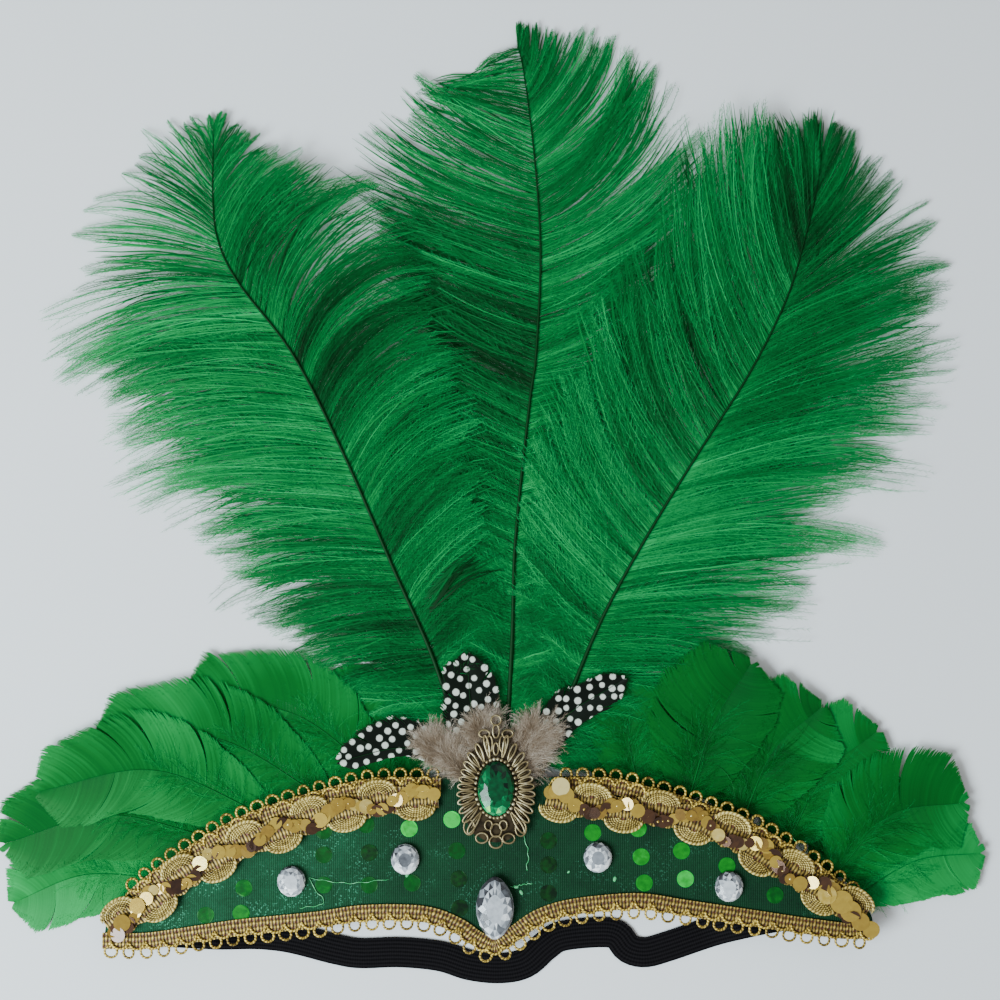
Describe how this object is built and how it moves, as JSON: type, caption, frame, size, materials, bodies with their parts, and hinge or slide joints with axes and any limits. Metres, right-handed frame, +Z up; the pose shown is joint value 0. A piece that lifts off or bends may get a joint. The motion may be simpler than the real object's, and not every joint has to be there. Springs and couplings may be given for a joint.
{
  "type": "feather headdress",
  "caption": "Crescent forehead band with looped braids, stones, a pierced pendant, ostrich plumes, goose feathers and an elastic strap.",
  "frame": {"origin": "on the surface it lies on, under the middle of its outer box", "axes": "+X along the band, +Y towards the plume tips, +Z up from the surface, out of the front of the band"},
  "size_m": [0.395, 0.3862, 0.0146],
  "materials": {
    "panel_knit": "dark green metallic knit",
    "gold_braid": "tarnished gold lurex braid with picot loops",
    "sequin_gimp": "cream and gold gimp with cup sequins",
    "pendant_brass": "antique plated casting",
    "emerald": "foil-backed faceted glass",
    "crystal": "foil-backed faceted glass",
    "elastic": "black ribbed elastic",
    "plume": "dyed ostrich plume, fluffy",
    "goose": "dyed goose feather, silky",
    "guinea": "dark spotted feather",
    "down": "fluffy taupe down"
  },
  "bodies": {
    "root": {"headband_panel": "panel_knit", "upper_braid_left": "gold_braid", "upper_braid_right": "gold_braid", "lower_braid": "gold_braid", "sequin_braid_left": "sequin_gimp", "sequin_braid_right": "sequin_gimp", "pendant_setting": "pendant_brass", "pendant_stone": "emerald", "rhinestone_1": "crystal", "rhinestone_2": "crystal", "rhinestone_3": "crystal", "rhinestone_4": "crystal", "navette_stone": "crystal", "elastic_strap": "elastic", "plume_left": "plume", "plume_centre": "plume", "plume_right": "plume", "goose_left_1": "goose", "goose_left_2": "goose", "goose_left_3": "goose", "goose_left_4": "goose", "goose_left_5": "goose", "goose_left_6": "goose", "goose_right_1": "goose", "goose_right_2": "goose", "goose_right_3": "goose", "goose_right_4": "goose", "goose_right_5": "goose", "goose_right_6": "goose", "guinea_left": "guinea", "guinea_centre": "guinea", "guinea_right": "guinea", "down_left": "down", "down_top": "down", "down_right": "down"}
  },
  "joints": []
}
